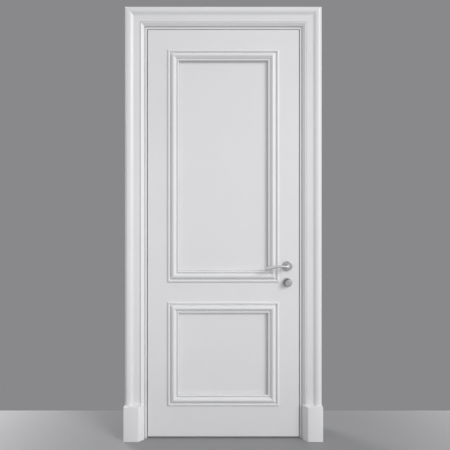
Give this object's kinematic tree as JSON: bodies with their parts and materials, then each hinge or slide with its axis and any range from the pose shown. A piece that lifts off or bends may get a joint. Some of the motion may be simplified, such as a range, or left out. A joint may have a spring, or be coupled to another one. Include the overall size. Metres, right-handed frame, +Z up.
{
  "type": "interior door with frame",
  "caption": "White panelled interior door with applied mouldings, moulded casing on plinth blocks, concealed hinges, lever handles and a thumb-turn lock.",
  "frame": {"origin": "middle of the doorway at floor level, in the plane of the wall's front face", "axes": "+X across the doorway towards the lock, +Y from the front of the wall to its rear, +Z up"},
  "size_m": [1.014, 0.1975, 2.224],
  "materials": {
    "white_paint": "satin white paint over wood",
    "satin_metal": "satin nickel",
    "steel": "plain",
    "seal_rubber": "matt"
  },
  "bodies": {
    "frame": {"hinge_jamb": "white_paint", "strike_jamb": "white_paint", "head_jamb": "white_paint", "hinge_seal": "seal_rubber", "strike_seal": "seal_rubber", "head_seal": "seal_rubber", "front_casing_left": "white_paint", "front_casing_right": "white_paint", "front_casing_head": "white_paint", "front_plinth_left": "white_paint", "front_plinth_right": "white_paint", "rear_casing_left": "white_paint", "rear_casing_right": "white_paint", "rear_casing_head": "white_paint", "rear_plinth_left": "white_paint", "rear_plinth_right": "white_paint", "strike_plate": "satin_metal", "strike_screws": "satin_metal", "lower_frame_cup": "satin_metal", "upper_frame_cup": "satin_metal", "frame_cup_screws": "satin_metal"},
    "hinge_arms": {"lower_hinge_arm": "steel", "upper_hinge_arm": "steel"},
    "leaf": {"hinge_stile": "white_paint", "lock_stile": "white_paint", "top_rail": "white_paint", "lock_rail": "white_paint", "bottom_rail": "white_paint", "upper_panel": "white_paint", "lower_panel": "white_paint", "front_upper_moulding": "white_paint", "front_lower_moulding": "white_paint", "rear_upper_moulding": "white_paint", "rear_lower_moulding": "white_paint", "lower_leaf_cup": "satin_metal", "upper_leaf_cup": "satin_metal", "leaf_cup_screws": "satin_metal", "lock_case": "steel", "lock_faceplate": "satin_metal", "faceplate_screws": "satin_metal", "front_rose": "satin_metal", "rear_rose": "satin_metal", "front_turn_rose": "satin_metal", "rear_turn_rose": "satin_metal"},
    "lever_set": {"front_lever": "satin_metal", "rear_lever": "satin_metal", "lever_spindle": "steel", "latch_follower": "steel"},
    "latch": {"latch_bolt": "satin_metal"},
    "turn_set": {"thumb_turn": "satin_metal", "coin_release": "satin_metal", "turn_spindle": "steel", "bolt_follower": "steel"},
    "bolt": {"dead_bolt": "satin_metal"}
  },
  "joints": [
    {"name": "arm_swing", "type": "hinge", "parent": "frame", "child": "hinge_arms", "pos_m": [-0.417, 0.01, 1.059], "axis": [0, 0, -1], "range_deg": [0, 47.5]},
    {"name": "leaf_swing", "type": "hinge", "parent": "hinge_arms", "child": "leaf", "pos_m": [-0.369, 0.01, 1.059], "axis": [0, 0, -1], "range_deg": [0, 47.5]},
    {"name": "lever_turn", "type": "hinge", "parent": "leaf", "child": "lever_set", "pos_m": [0.331, 0.022, 0.89], "axis": [0, -1, 0], "range_deg": [0, 40], "stiffness_Nm_per_rad": 1},
    {"name": "latch_slide", "type": "slide", "parent": "leaf", "child": "latch", "axis": [1, 0, 0], "range_m": [0, 0.012]},
    {"name": "turn_turn", "type": "hinge", "parent": "leaf", "child": "turn_set", "pos_m": [0.331, 0.022, 0.805], "axis": [0, -1, 0], "range_deg": [0, 90]},
    {"name": "bolt_slide", "type": "slide", "parent": "leaf", "child": "bolt", "axis": [1, 0, 0], "range_m": [0, 0.0142]}
  ],
  "couplings": [
    {"joint": "arm_swing", "follows": "leaf_swing", "ratio": 1},
    {"joint": "turn_turn", "follows": "bolt_slide", "rad_per_m": 110}
  ]
}
